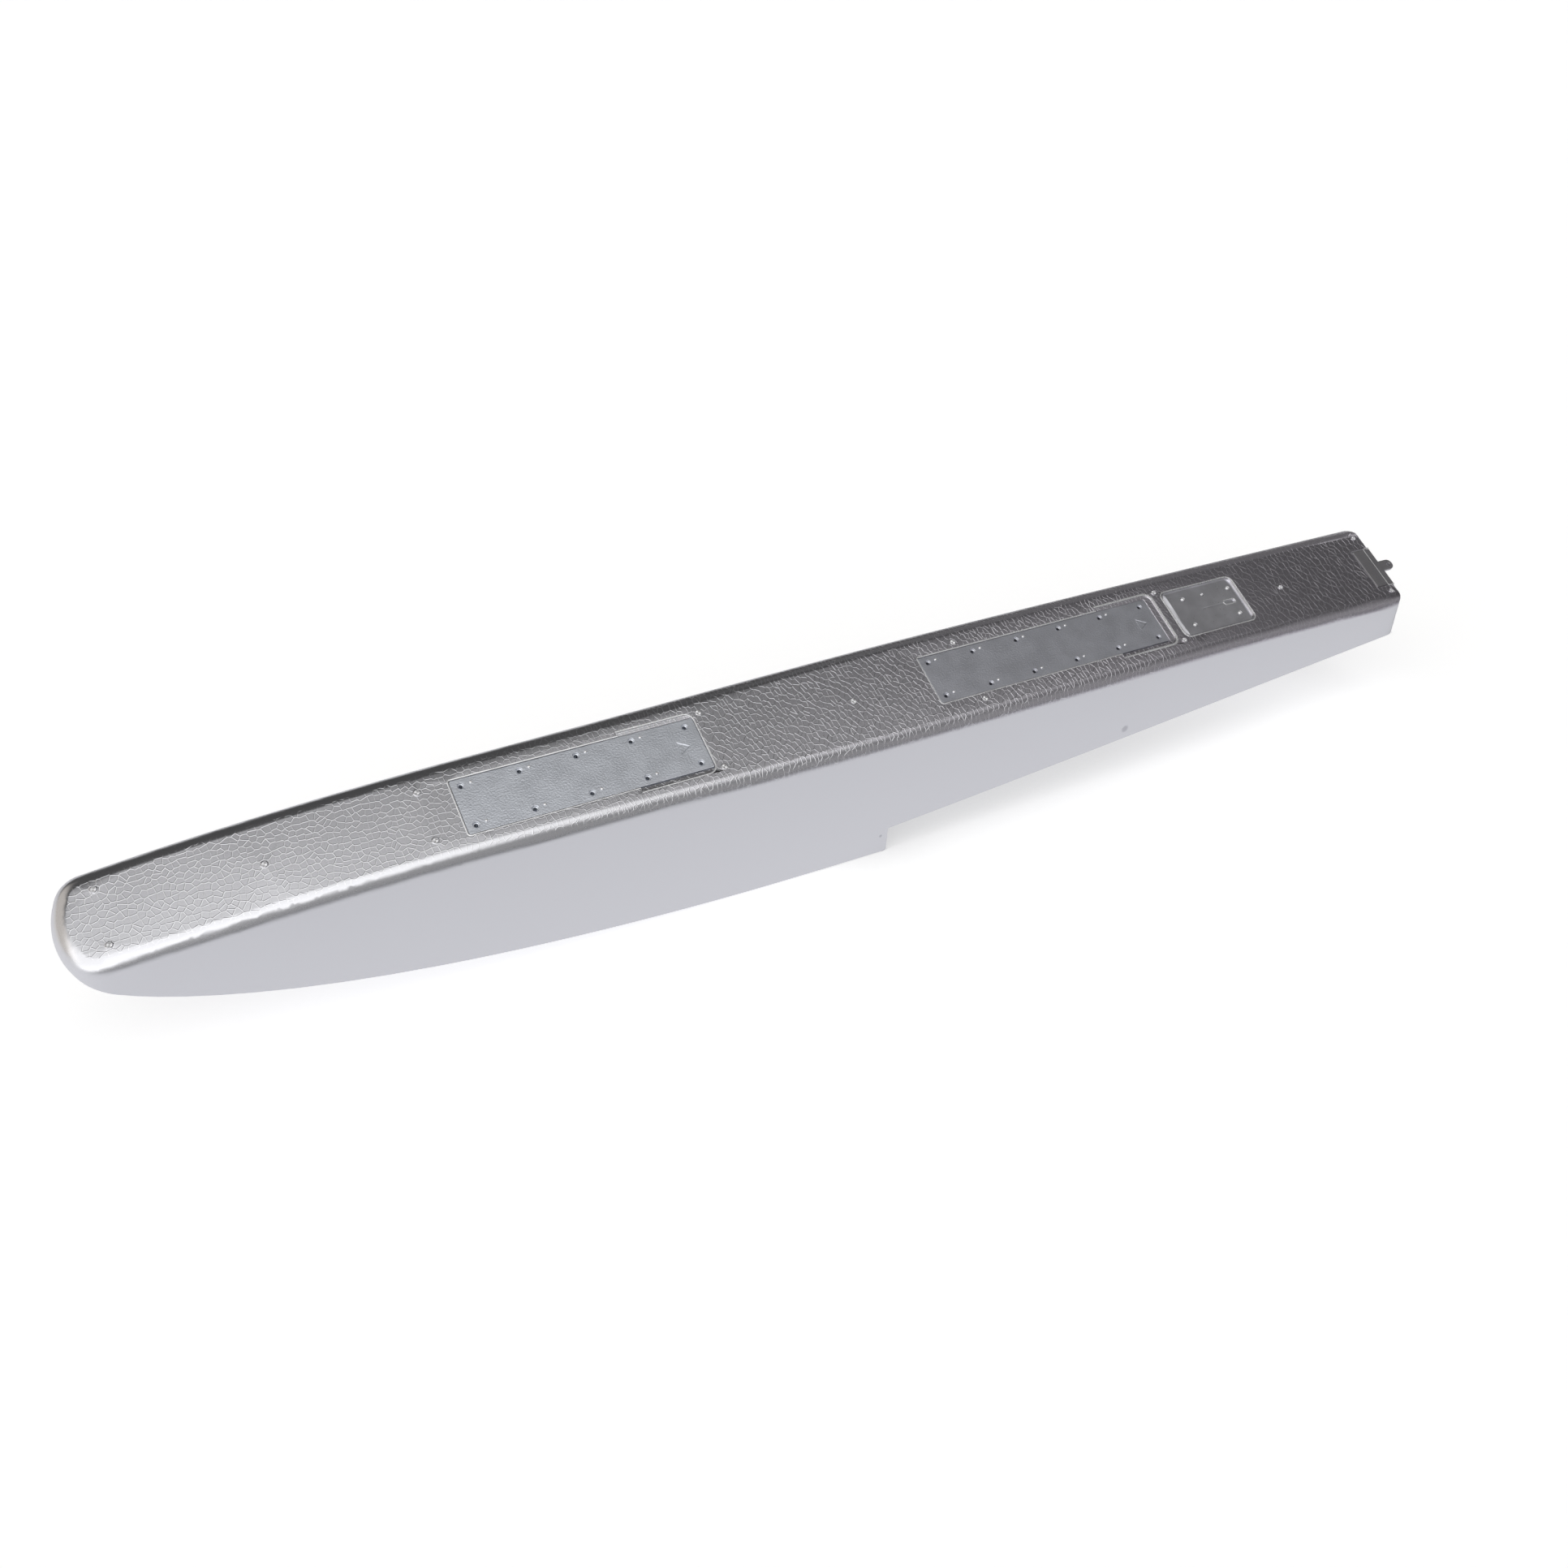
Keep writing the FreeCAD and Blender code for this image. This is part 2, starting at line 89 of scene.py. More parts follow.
class Finish:
    def __init__(self, holder):
        holder.use_nodes = True
        self.holder = holder
        self.tree = holder.node_tree
        self.tree.nodes.clear()

    def node(self, kind, settings=None, inputs=None, output=0):
        made = self.tree.nodes.new(kind)
        for name, value in (settings or {}).items():
            setattr(made, name, value)
        for name, value in (inputs or {}).items():
            if isinstance(value, Wire):
                self.tree.links.new(value.socket, made.inputs[name])
            elif value is not None:
                made.inputs[name].default_value = value
        return Wire(self, made.outputs[output]) if made.outputs else None

    def spread(self, value, low, high, start=0.0, end=1.0):
        # smooth step of a value, from start at low to end at high
        inputs = {"Value": value, "From Min": low, "From Max": high, "To Min": start, "To Max": end}
        return self.node("ShaderNodeMapRange", {"interpolation_type": "SMOOTHSTEP"}, inputs)

    def blend(self, factor, first, second):
        # colours; 6, 7 and 0 are the colour inputs and the factor of a Mix node set to colour
        return self.node("ShaderNodeMix", {"data_type": "RGBA"}, {0: factor, 6: first, 7: second}, output=2)

    def dot(self, vector, direction):
        inputs = {0: vector, 1: tuple(direction)}
        return self.node("ShaderNodeVectorMath", {"operation": "DOT_PRODUCT"}, inputs, output="Value")

    def noise(self, place, scale, detail, output="Fac"):
        inputs = {"Vector": place, "Scale": scale, "Detail": detail}
        return self.node("ShaderNodeTexNoise", inputs=inputs, output=output)

    def close(self, surface, kind="ShaderNodeOutputMaterial"):
        self.node(kind, inputs={"Surface": surface})
        return self.holder


def shaded(colour, share):
    return tuple(part * share for part in colour[:3]) + (1.0,)


def clearSelection():
    for thing in bpy.context.selected_objects:
        thing.select_set(False)


# where the photograph was taken from, in the float's own frame
cameraSetup = {
    "place": (-0.30192, -0.45466, 0.875),
    "right": (0.87736, -0.41677, 0.23778),
    "down": (-0.25349, -0.82335, -0.50778),
    "forward": (0.4074, 0.38523, -0.82802),
    "lens": 35.367,
    "sensor": 36.0,
    "clipStart": 0.01,
    "clipEnd": 60.0,
}


def makeCamera(setup):
    data = bpy.data.cameras.new("photoCamera")
    data.lens = setup["lens"]
    data.sensor_width = setup["sensor"]
    data.clip_start = setup["clipStart"]
    data.clip_end = setup["clipEnd"]
    camera = bpy.data.objects.new("photoCamera", data)
    bpy.context.scene.collection.objects.link(camera)
    right, down, forward = (Vector(setup[name]).normalized() for name in ("right", "down", "forward"))
    turned = Matrix((right, -down, -forward)).transposed()
    camera.matrix_world = Matrix.Translation(Vector(setup["place"])) @ turned.to_4x4()
    bpy.context.scene.camera = camera
    print("camera: placed")


makeCamera(cameraSetup)

# the table leans in the level float's frame, because the float lies over on one bottom panel;
# a pair of numbers is where a value starts to change and where it has changed
studio = {
    "tableUp": (-0.0097, 0.4531, 0.8914),
    "tableDistance": -0.1225,
    "tableSize": 24.0,
    "tableCuts": 8,
    "tableColour": (0.80, 0.80, 0.80, 1.0),
    "tableGlow": 0.50,
    "tableBounce": (0.845, 0.85, 0.888, 1.0),
    "tableEdge": 0.16,
    "tableNearEnd": (0.62, 0.26),
    "tableSternEnd": (1.15, 0.85),
    "tableSternShare": 0.35,
    "shadowReach": 0.06,
    "shadowSamples": 4,
    "shadowFree": (0.95, 0.30),
    "shadowFrom": (0.12, 0.24),
    "shadowDepth": 0.42,
    "shadowColour": (0.30, 0.30, 0.29, 1.0),
    "towardCamera": (-0.005, -0.8915, 0.4531),
    "lampAlong": -33.5,
    "lampAside": 9.5,
    "lampTwist": 17.0,
    "lampHalfLength": 62.5,
    "lampHalfWidth": 34.0,
    "lampSoftness": 0.20,
    "lampFacing": (0.0, 0.2),
    "lampLevel": 1.36,
    "wallLean": (18.0, 72.0),
    "wallLevel": 0.285,
    "ceilingLevel": 0.05,
    "backdropLean": (-72.0, -92.0),
    "backdropLevel": 0.75,
    "sternEnd": {"toward": (0.90, 0.37, 0.24), "within": (0.975, 0.995), "level": 1.1},
    "sternQuarter": {"toward": (0.72, 0.66, 0.22), "within": (0.88, 0.98), "level": 0.12},
    "bowEnd": {"toward": (-0.80, 0.55, 0.20), "within": (0.80, 0.95), "level": 0.62},
    "bowEndColour": (1.0, 0.93, 0.84, 1.0),
    "white": (1.0, 1.0, 1.0, 1.0),
}


def makeTable(setup):
    clearSelection()
    cuts = setup["tableCuts"]
    bpy.ops.mesh.primitive_grid_add(x_subdivisions=cuts, y_subdivisions=cuts, size=setup["tableSize"])
    table = bpy.context.object
    table.name = "table"
    up = Vector(setup["tableUp"]).normalized()
    turn = Vector((0, 0, 1)).rotation_difference(up).to_matrix().to_4x4()
    table.data.transform(Matrix.Translation(up * setup["tableDistance"]) @ turn)
    paper = Finish(bpy.data.materials.new("tablePaper"))
    cameraRay = paper.node("ShaderNodeLightPath", output="Is Camera Ray")
    behind = paper.node("ShaderNodeNewGeometry", output="Backfacing")
    diffuse = paper.node("ShaderNodeBsdfDiffuse", inputs={"Color": setup["tableColour"]})
    glow = paper.node("ShaderNodeEmission", inputs={"Strength": setup["tableGlow"]})
    openFloor = paper.node("ShaderNodeAddShader", inputs={0: diffuse, 1: glow})
    place = paper.node("ShaderNodeTexCoord", output="Object")
    free = paper.node("ShaderNodeAmbientOcclusion", {"samples": setup["shadowSamples"]},
                      {"Distance": setup["shadowReach"]}, output="AO")
    aft = paper.dot(place, (1.0, 0.0, 0.0))
    afterbody = paper.spread(aft, *setup["shadowFrom"])
    shadow = paper.spread(free, *setup["shadowFree"]) * afterbody * setup["shadowDepth"]
    underneath = paper.node("ShaderNodeEmission", inputs={"Color": setup["shadowColour"]})
    seen = paper.node("ShaderNodeMixShader", inputs={0: shadow, 1: openFloor, 2: underneath})
    # what the float mirrors: the paper ends in front of the camera, and dims past the stern
    out = paper.dot(place, Vector(setup["towardCamera"]).normalized())
    pastStern = paper.spread(aft, *setup["tableSternEnd"], setup["tableSternShare"], 1.0)
    lit = paper.spread(out, *setup["tableNearEnd"]) * pastStern
    tableEnd = shaded(setup["tableBounce"], setup["tableEdge"])
    bounce = paper.node("ShaderNodeEmission", inputs={"Color": paper.blend(lit, tableEnd, setup["tableBounce"])})
    surface = paper.node("ShaderNodeMixShader", inputs={0: cameraRay, 1: bounce, 2: seen})
    clear = paper.node("ShaderNodeBsdfTransparent")
    oneSided = paper.node("ShaderNodeMixShader", inputs={0: behind * cameraRay, 1: surface, 2: clear})
    table.data.materials.append(paper.close(oneSided))
    print("studio: table laid")


def makeRoom(setup):
    world = bpy.data.worlds.new("studioRoom")
    bpy.context.scene.world = world
    room = Finish(world)
    direction = room.node("ShaderNodeTexCoord", output="Generated")
    high = room.dot(direction, Vector(setup["tableUp"]).normalized())
    near = room.dot(direction, Vector(setup["towardCamera"]).normalized())
    lean = near.math("ARCTAN2", near, high) * (180.0 / math.pi)   # degrees from overhead, to the camera
    turnAside = Matrix.Rotation(math.radians(setup["lampAside"]), 3, "X")
    turnAlong = Matrix.Rotation(math.radians(setup["lampAlong"]), 3, "Y")
    turnTwist = Matrix.Rotation(math.radians(setup["lampTwist"]), 3, "Z")
    lampAxes = (turnAlong @ turnAside @ turnTwist).transposed()   # rows: along, across and out of the lamp
    across = [room.dot(direction, axis) for axis in lampAxes]
    offAlong = across[0] / math.sin(math.radians(setup["lampHalfLength"]))
    offAside = across[1] / math.sin(math.radians(setup["lampHalfWidth"]))
    off = (offAlong * offAlong + offAside * offAside) ** 0.5
    facing = room.spread(across[2], *setup["lampFacing"])
    lamp = room.spread(off, 1.0 + setup["lampSoftness"], 1.0 - setup["lampSoftness"]) * facing
    wall = room.spread(lean, *setup["wallLean"])
    backdrop = room.spread(lean, *setup["backdropLean"])
    # small lights off the float's two ends
    ends = {}
    for name in ("sternEnd", "sternQuarter", "bowEnd"):
        end = setup[name]
        facingEnd = room.dot(direction, Vector(end["toward"]).normalized())
        ends[name] = room.spread(facingEnd, *end["within"]) * end["level"]
    level = (lamp * setup["lampLevel"] + wall * setup["wallLevel"] + backdrop * setup["backdropLevel"]
             + ends["sternEnd"] + ends["sternQuarter"] + setup["ceilingLevel"])
    plain = room.node("ShaderNodeBackground", inputs={"Color": setup["white"], "Strength": level})
    warm = room.node("ShaderNodeBackground", inputs={"Color": setup["bowEndColour"], "Strength": ends["bowEnd"]})
    light = room.node("ShaderNodeAddShader", inputs={0: plain, 1: warm})
    white = room.node("ShaderNodeBackground", inputs={"Color": setup["white"]})
    cameraRay = room.node("ShaderNodeLightPath", output="Is Camera Ray")
    shown = room.node("ShaderNodeMixShader", inputs={0: cameraRay, 1: light, 2: white})
    room.close(shown, kind="ShaderNodeOutputWorld")
    print("studio: room lit")


makeTable(studio)
makeRoom(studio)

bpy.context.scene.view_settings.view_transform = "Standard"

# silver paint over the bead foam of the hull; a "run" is a stretch along it, from bow to stern
foamPaint = {
    "silver": (0.665, 0.665, 0.69, 1.0),
    # a darker copy of the silver: painted shade on the deck toward the stern
    "silverShadedAft": (0.56, 0.533, 0.58, 1.0),
    "smudge": (0.36, 0.355, 0.39, 1.0),
    "smudges": [((0.4435, -0.0609, -0.0494), 0.0034), ((0.2196, -0.0739, -0.0791), 0.0014)],
    "smudgeShare": 0.6,
    "smudgeRim": (1.2, 0.5),
    # the bead seams are real ridges; painting them lighter than the silver is a painted highlight
    "ridge": (0.96, 0.96, 0.98, 1.0),
    "metal": 0.94,
    "sideMetal": 0.52,
    "roughness": 0.18,
    "sideRoughness": 0.36,
    "metalFaces": (0.40, 0.75),
    "satinFaces": (0.55, 0.93),
    "satinSpread": 0.10,
    "aftShadeRun": (-0.10, 0.60),
    "wrinkledRun": (-0.12, 0.14),
    "sternRun": (0.44, 0.58),
    # bead seams show on faces that look up: on the flat foredeck alone, but down the rounding aft
    "seamFrom": {"fore": 0.955, "change": -0.505},
    "seamFull": {"fore": 0.995, "change": -0.31},
    "beadsFore": {"perMetre": 232.0, "drawn": 1.0, "wobble": 0.0009, "randomness": 0.78, "ridge": 0.00037},
    "beadsAft": {"perMetre": 275.0, "drawn": 0.70, "wobble": 0.0014, "randomness": 0.90, "ridge": 0.00036},
    "beadsStern": {"perMetre": 205.0, "drawn": 0.78, "wobble": 0.0018, "randomness": 0.94, "ridge": 0.00052},
    "seamHighlightShare": {"fore": 0.58, "wrinkled": -0.24, "stern": -0.14},
    "seamLift": {"fore": 0.85, "wrinkled": 0.40, "stern": -0.55},
    "uneven": {"faded": 0.75, "full": 1.15},
    "noiseMiddle": (0.30, 0.70),
    "wobbleScale": 160.0,
    "unevenScale": 70.0,
    "grainScale": 900.0,
    "grainLift": 0.10,
    "ridgeHeight": 0.00006,
}


def beadRidges(paint, place, wobble, beads):
    # the seams between the foam's beads, seen through the film
    along, across = (paint.dot(place, axis) for axis in ((1.0, 0.0, 0.0), (0.0, beads["drawn"], 0.0)))
    flat = paint.node("ShaderNodeCombineXYZ", inputs={"X": along, "Y": across})
    moved = paint.node("ShaderNodeVectorMath", {"operation": "MULTIPLY_ADD"},
                       {0: wobble, 1: (beads["wobble"],) * 3, 2: flat})
    edges = paint.node("ShaderNodeTexVoronoi", {"feature": "DISTANCE_TO_EDGE", "voronoi_dimensions": "2D"},
                       {"Vector": moved, "Scale": beads["perMetre"], "Randomness": beads["randomness"]},
                       output="Distance")
    return paint.spread(edges, beads["ridge"] * beads["perMetre"], 0.0)


def silverFoam(setup):
    paint = Finish(bpy.data.materials.new("silverFoam"))
    place = paint.node("ShaderNodeTexCoord", output="Object")
    normal = paint.node("ShaderNodeTexCoord", output="Normal")
    upward = paint.dot(normal, (0.0, 0.0, 1.0))
    alongHull = paint.dot(place, (1.0, 0.0, 0.0))
    # the stretch along the hull over which the painted shade darkens the deck
    aft = paint.spread(alongHull, *setup["aftShadeRun"])
    wrinkled = paint.spread(alongHull, *setup["wrinkledRun"])
    atStern = paint.spread(alongHull, *setup["sternRun"])
    seamFrom, seamFull = (wrinkled * limit["change"] + limit["fore"]
                          for limit in (setup["seamFrom"], setup["seamFull"]))
    onDeck = paint.spread(upward, seamFrom, seamFull)
    # the bead seams, in three sizes that pass into one another along the hull
    wobble = paint.noise(place, setup["wobbleScale"], 2.0, output="Color")
    fore, middle, stern = (beadRidges(paint, place, wobble, setup[name])
                           for name in ("beadsFore", "beadsAft", "beadsStern"))
    aftRidge = middle * (1.0 - atStern) + stern * atStern
    uneven = paint.spread(paint.noise(place, setup["unevenScale"], 2.0), *setup["noiseMiddle"],
                          setup["uneven"]["faded"], setup["uneven"]["full"])
    ridge = (fore * (1.0 - wrinkled) + aftRidge * wrinkled) * onDeck * uneven
    grain = paint.noise(place, setup["grainScale"], 3.0)
    share, lift = (wrinkled * part["wrinkled"] + atStern * part["stern"] + part["fore"]
                   for part in (setup["seamHighlightShare"], setup["seamLift"]))
    # painted shade: the deck's silver is painted darker toward the stern
    silver = paint.blend(aft * onDeck, setup["silver"], setup["silverShadedAft"])
    # painted highlight: the bead seams are painted lighter than the silver round them
    colour = paint.blend(ridge * share, silver, setup["ridge"])
    height = ridge * lift + grain * setup["grainLift"]
    bump = paint.node("ShaderNodeBump", inputs={"Height": height, "Distance": setup["ridgeHeight"]})
    for spot, radius in setup["smudges"]:
        away = paint.node("ShaderNodeVectorMath", {"operation": "DISTANCE"}, {0: place, 1: spot}, output="Value")
        rim, core = (radius * part for part in setup["smudgeRim"])
        colour = paint.blend(paint.spread(away, rim, core, 0.0, setup["smudgeShare"]), colour, setup["smudge"])
    mean = setup["satinSpread"] / 2.0
    satin = paint.spread(upward, *setup["satinFaces"], setup["sideRoughness"] - mean, setup["roughness"] - mean)
    metal = paint.spread(upward, *setup["metalFaces"], setup["sideMetal"], setup["metal"])
    surface = paint.node("ShaderNodeBsdfPrincipled", inputs={
        "Base Color": colour, "Metallic": metal, "Roughness": grain * setup["satinSpread"] + satin, "Normal": bump})
    return paint.close(surface)


# silver plastic: clouds and fine grain in colour, sheen and height
plasticGrain = {
    "grainScale": 800.0,
    "cloudScale": 60.0,
    "darkest": 0.80,
    "middle": (0.30, 0.70),
    "grainShare": 0.4,                   # of the grain against the clouds
    "satin": 0.30,
}
platePaint = {"silver": (0.81, 0.84, 0.90, 1.0), "metal": 0.88, "roughness": 0.30, "grainHeight": 0.00014}
# the rear plate is the front plate's silver plastic painted darker: painted shade
rearPlateShadedPaint = dict(platePaint, silver=(0.64, 0.65, 0.705, 1.0))


def silverPlastic(name, setup):
    paint = Finish(bpy.data.materials.new(name))
    place = paint.node("ShaderNodeTexCoord", output="Object")
    grain = paint.noise(place, plasticGrain["grainScale"], 4.0)
    cloud = paint.noise(place, plasticGrain["cloudScale"], 2.0)
    grainShare = setup.get("grainShare", plasticGrain["grainShare"])
    mottled = paint.spread(cloud * (1.0 - grainShare) + grain * grainShare, *plasticGrain["middle"])
    colour = paint.blend(mottled, setup["silver"], shaded(setup["silver"], plasticGrain["darkest"]))
    uneven = plasticGrain["satin"] * grainShare
    bump = paint.node("ShaderNodeBump", inputs={"Height": grain, "Distance": setup["grainHeight"]})
    surface = paint.node("ShaderNodeBsdfPrincipled", inputs={
        "Base Color": colour, "Metallic": setup["metal"],
        "Roughness": grain * uneven + (setup["roughness"] - uneven / 2.0), "Normal": bump})
    return paint.close(surface)


trayPaint = {"silver": (0.74, 0.735, 0.775, 1.0), "metal": 0.92, "roughness": 0.28, "grainHeight": 0.000006,
             "grainShare": 0.10}
filmEdgePaint = {"silver": (0.97, 0.97, 0.98, 1.0), "metal": 0.75, "roughness": 0.28, "grainHeight": 0.00002}
# the marks are painted near white, lighter than the silver round them: a painted glint
markGlintPaint = {"silver": (0.97, 0.97, 0.98, 1.0), "metal": 0.60, "roughness": 0.25, "grainHeight": 0.00001}
ventPaint = {"silver": (0.86, 0.86, 0.87, 1.0), "metal": 0.80, "roughness": 0.30, "grainHeight": 0.00003}
bracketPaint = {"silver": (0.31, 0.30, 0.315, 1.0), "metal": 0.80, "roughness": 0.36, "grainHeight": 0.00003}


# how the copies of the solids are joined up and softened; angles in degrees, lengths in metres
copyForm = {"join": 0.000004, "flat": 0.3, "sharp": 32.0, "smooth": 42.0}


def mergedCopy(node, name, flatWithin=copyForm["flat"]):
    # a copy of a CAD piece with its loose triangles joined, and flat faces made whole
    clearSelection()
    piece = bpy.data.objects.new(name, frame["nodes"][node].data.copy())
    bpy.context.scene.collection.objects.link(piece)
    piece.data.materials.clear()
    bpy.context.view_layer.objects.active = piece
    piece.select_set(True)
    bpy.ops.object.mode_set(mode="EDIT")
    bpy.ops.mesh.select_all(action="SELECT")
    bpy.ops.mesh.remove_doubles(threshold=copyForm["join"])
    if flatWithin:
        bpy.ops.mesh.dissolve_limited(angle_limit=math.radians(flatWithin))
    bpy.ops.object.mode_set(mode="OBJECT")
    return piece


def softenEdges(piece, width, segments):
    # a small rounding on every sharp edge, as the mould leaves it
    clearSelection()
    piece.select_set(True)
    bpy.context.view_layer.objects.active = piece
    edge = piece.modifiers.new("softEdge", "BEVEL")
    edge.width = width
    edge.segments = segments
    edge.limit_method = "ANGLE"
    edge.angle_limit = math.radians(copyForm["sharp"])
    edge.use_clamp_overlap = False
    bpy.ops.object.modifier_apply(modifier="softEdge")
    bpy.ops.object.shade_smooth_by_angle(angle=math.radians(copyForm["smooth"]))
    flat = piece.modifiers.new("flatFaces", "WEIGHTED_NORMAL")
    flat.keep_sharp = True
    bpy.ops.object.modifier_apply(modifier="flatFaces")


def dressNode(piece, node, material):
    piece.data.materials.append(material)
    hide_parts(node)
    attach(piece, "root")


# the deck's centreline: level amidships, falling on an arc to the bow and to the stern
deckLine = {"level": 0.0005, "bowStart": -0.070, "bowRadius": 1.667, "sternStart": 0.440, "sternRadius": 7.440,
            "slopeStep": 0.001}


def deckLevel(x):
    bowRun = max(0.0, deckLine["bowStart"] - x)
    sternRun = max(0.0, x - deckLine["sternStart"])
    fall = bowRun ** 2 / (2.0 * deckLine["bowRadius"]) + sternRun ** 2 / (2.0 * deckLine["sternRadius"])
    return deckLine["level"] - fall


def deckPlace(x, y=0.0):
    # a place on the deck with its Z square to the deck there
    step = deckLine["slopeStep"]
    slope = math.atan((deckLevel(x + step) - deckLevel(x - step)) / (2.0 * step))
    return Matrix.Translation((x, y, deckLevel(x))) @ Matrix.Rotation(-slope, 4, "Y")


# the hull: the silver film pulls round every edge of the foam
hullSkin = {
    "node": "foam_hull",
    "edgeWidth": 0.0008,
    "edgeSegments": 3,
    "evenAlong": 0.007,                  # how far the big rounding's shading is evened out, along it
    "evenAside": 0.0012,
    "roundingFacesUp": 0.25,
    "deckFacesUp": 0.996,
    "roundingFromMiddle": 0.030,
    "noseStart": -0.290,
    "sameCorner": 0.97,                  # cosines: normals of one smooth corner, and of one part of the edge
    "sameEdge": 0.85,
}


def evenRounding(piece, setup):
    # the long rounding of the deck's edge: each normal becomes the mean of those along the edge
    mesh = piece.data
    normals = numpy.empty(len(mesh.loops) * 3, numpy.float32)
    mesh.corner_normals.foreach_get("vector", normals)
    normals = normals.reshape(-1, 3).astype(float)
    corners = numpy.empty(len(mesh.loops), numpy.int32)
    mesh.loops.foreach_get("vertex_index", corners)
    places = numpy.empty(len(mesh.vertices) * 3, numpy.float32)
    mesh.vertices.foreach_get("co", places)
    places = places.reshape(-1, 3).astype(float)[corners]
    fall = numpy.clip(deckLine["bowStart"] - places[:, 0], 0.0, None) / deckLine["bowRadius"]
    square = normals[:, 2] * numpy.sqrt(1.0 - fall ** 2) - normals[:, 0] * fall     # 1 where square to the deck
    onEdge = (normals[:, 2] > setup["roundingFacesUp"]) & (square < setup["deckFacesUp"])
    onEdge &= (abs(places[:, 1]) > setup["roundingFromMiddle"]) | (places[:, 0] < setup["noseStart"])
    chosen = numpy.flatnonzero(onEdge)
    first = chosen[numpy.unique(corners[chosen], return_index=True)[1]]
    where, facing = places[first], normals[first]
    along = numpy.stack([-facing[:, 1], facing[:, 0], 0.0 * facing[:, 0]], axis=1)
    along /= numpy.linalg.norm(along, axis=1)[:, None]
    for corner in chosen:
        mine = numpy.searchsorted(corners[first], corners[corner])
        if normals[corner] @ facing[mine] < setup["sameCorner"]:
            continue
        step = where - places[corner]
        far = step @ along[mine]
        aside = (step ** 2).sum(axis=1) - far ** 2
        weight = numpy.exp(-0.5 * (far / setup["evenAlong"]) ** 2 - 0.5 * aside / setup["evenAside"] ** 2)
        weight *= facing @ facing[mine] > setup["sameEdge"]
        mean = weight @ facing
        normals[corner] = mean / numpy.linalg.norm(mean)
    mesh.normals_split_custom_set(normals.tolist())


def makeHull(setup):
    hull = mergedCopy(setup["node"], "foamHullSkin", flatWithin=0.0)
    softenEdges(hull, setup["edgeWidth"], setup["edgeSegments"])
    evenRounding(hull, setup)
    dressNode(hull, setup["node"], silverFoam(foamPaint))
    print("hull: edges softened")


# strut plates: each screw hole is sunk in a shallow round seat
strutPlates = {
    "pieces": {"front_strut_plate": ("frontPlateSkin", -0.080, 5),
               "rear_strut_plate": ("rearPlateSkin", 0.280, 6)},
    "pitch": 0.040,
    "rowSpacing": 0.030,
    "seatTop": 0.0047,
    "seatFloor": 0.0041,
    "seatDepth": 0.0010,
    "cutterAbove": 0.0006,
    "cutterSides": 36,
    "edgeWidth": 0.00032,
    "edgeSegments": 2,
}


def cutSeats(plate, firstHole, columns, setup):
    clearSelection()
    above = setup["cutterAbove"]
    depth = setup["seatDepth"] + above
    for column in range(columns):
        for side in (-0.5, 0.5):
            place = (firstHole + column * setup["pitch"], side * setup["rowSpacing"], above - depth / 2.0)
            bpy.ops.mesh.primitive_cone_add(vertices=setup["cutterSides"], radius1=setup["seatFloor"] / 2.0,
                                            radius2=setup["seatTop"] / 2.0, depth=depth, location=place)
            bpy.context.object.name = "seatCutter"
    cutters = [thing for thing in bpy.data.objects if thing.name.startswith("seatCutter")]
    for cutter in cutters:
        cutter.select_set(True)
    bpy.context.view_layer.objects.active = cutters[0]
    bpy.ops.object.join()
    cutter = bpy.context.object
    clearSelection()
    plate.select_set(True)
    bpy.context.view_layer.objects.active = plate
    seats = plate.modifiers.new("screwSeats", "BOOLEAN")
    seats.operation = "DIFFERENCE"
    seats.solver = "EXACT"
    seats.object = cutter
    bpy.ops.object.modifier_apply(modifier="screwSeats")
    bpy.data.objects.remove(cutter)


def makePlates(setup):
    # the rear plate's darker silver is painted shade
    paints = {"front_strut_plate": silverPlastic("silverFrontPlate", platePaint),
              "rear_strut_plate": silverPlastic("silverRearPlateShaded", rearPlateShadedPaint)}
    for node, (name, firstHole, columns) in setup["pieces"].items():
        plate = mergedCopy(node, name)
        cutSeats(plate, firstHole, columns, setup)
        softenEdges(plate, setup["edgeWidth"], setup["edgeSegments"])
        dressNode(plate, node, paints[node])
    print("strut plates: screw seats sunk")


# rudder tray and stern bracket: moulded plastic with rounded edges
trayForm = {"node": "rudder_tray", "edgeWidth": 0.0004, "edgeSegments": 2}
bracketForm = {"node": "stern_bracket", "edgeWidth": 0.0006, "edgeSegments": 3}


def makeTray(setup):
    tray = mergedCopy(setup["node"], "rudderTraySkin")
    softenEdges(tray, setup["edgeWidth"], setup["edgeSegments"])
    dressNode(tray, setup["node"], silverPlastic("silverTray", trayPaint))
    print("rudder tray: edges rounded")


def makeBracket(setup):
    bracket = mergedCopy(setup["node"], "sternBracketSkin")
    softenEdges(bracket, setup["edgeWidth"], setup["edgeSegments"])
    dressNode(bracket, setup["node"], silverPlastic("silverBracket", bracketPaint))
    print("stern bracket: edges rounded")


